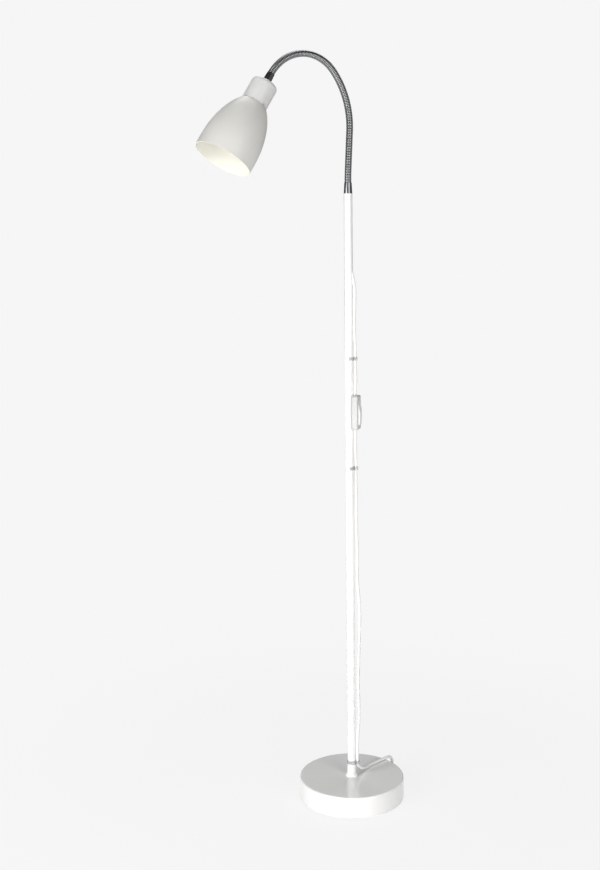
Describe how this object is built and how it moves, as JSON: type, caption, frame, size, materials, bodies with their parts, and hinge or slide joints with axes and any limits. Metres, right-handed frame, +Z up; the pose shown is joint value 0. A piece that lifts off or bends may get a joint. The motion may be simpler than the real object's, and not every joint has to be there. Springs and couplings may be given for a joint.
{
  "type": "gooseneck floor lamp",
  "caption": "Floor reading lamp: round weighted base, two-piece tube pole, flexible ribbed gooseneck, spun bell shade, and a clipped cord with an in-line rocker switch.",
  "frame": {"origin": "centre of the underside of the base pad, on the floor", "axes": "+Z up along the pole; the gooseneck reaches out along -X; +Y completes the right-handed frame"},
  "size_m": [0.4394, 0.2372, 1.4186],
  "materials": {
    "white_paint": "satin",
    "chrome": "polished",
    "steel": "zinc plated",
    "cement": "rough",
    "felt": "felt",
    "white_plastic": "satin",
    "clear_plastic": "gloss",
    "white_gloss_plastic": "gloss",
    "holder_plastic": "satin",
    "opal_glass": "opal",
    "aluminium": "satin",
    "brass": "satin",
    "black_glass": "gloss"
  },
  "bodies": {
    "stand": {"base_pad": "felt", "base_shell": "white_paint", "base_weight": "cement", "base_washer": "steel", "base_nut": "steel", "base_stud": "steel", "foot_collar": "white_paint", "lower_pole": "white_paint", "pole_foot_plug": "steel", "pole_joint_socket": "steel", "pole_joint_spigot": "steel", "upper_pole": "white_paint", "cord_outlet": "white_plastic", "lower_ferrule": "chrome", "cord_clip_upper": "clear_plastic", "cord_clip_middle": "clear_plastic", "cord_clip_lower": "clear_plastic", "switch_back": "white_plastic", "switch_front": "white_plastic", "switch_screws": "steel", "cord_upper": "white_plastic", "cord_lower": "white_plastic", "cord_hank": "white_plastic", "hank_ties": "white_plastic", "cord_tail": "white_plastic", "plug_relief": "white_plastic", "plug_body": "white_plastic", "plug_blades": "brass"},
    "arm_1": {"gooseneck_1": "chrome"},
    "arm_2": {"gooseneck_2": "chrome"},
    "arm_3": {"gooseneck_3": "chrome"},
    "head": {"gooseneck_4": "chrome", "upper_ferrule": "chrome", "neck_nut": "steel", "neck_cover": "white_paint", "lampholder": "holder_plastic", "lampholder_liner": "brass", "lampholder_contact": "brass", "shade_ring": "holder_plastic", "shade": "white_paint", "bulb_glass": "opal_glass", "bulb_cap": "aluminium", "bulb_insulator": "black_glass", "bulb_tip": "brass"},
    "rocker": {"switch_rocker": "white_gloss_plastic"}
  },
  "joints": [
    {"name": "gooseneck_sway_low", "type": "hinge", "parent": "stand", "child": "arm_1", "pos_m": [0, 0, 1.1785], "axis": [1, 0, 0], "range_deg": [-25, 25], "deforming": ["gooseneck_1"]},
    {"name": "gooseneck_bend_low", "type": "hinge", "parent": "arm_1", "child": "arm_2", "pos_m": [0.00461, 0, 1.28788], "axis": [0, 1, 0], "range_deg": [-15, 50], "deforming": ["gooseneck_1", "gooseneck_2"]},
    {"name": "gooseneck_sway_high", "type": "hinge", "parent": "arm_2", "child": "arm_3", "pos_m": [-0.0232, 0, 1.37221], "axis": [-0.8243, 0, -0.5662], "range_deg": [-40, 40], "deforming": ["gooseneck_2", "gooseneck_3"]},
    {"name": "gooseneck_bend_high", "type": "hinge", "parent": "arm_3", "child": "head", "pos_m": [-0.09903, 0, 1.41194], "axis": [0, 1, 0], "range_deg": [-30, 60], "deforming": ["gooseneck_3", "gooseneck_4"]},
    {"name": "switch_rock", "type": "hinge", "parent": "stand", "child": "rocker", "pos_m": [0.01022, -0.01357, 0.7455], "axis": [0.7986, 0.6018, 0], "range_deg": [0, 8]}
  ]
}
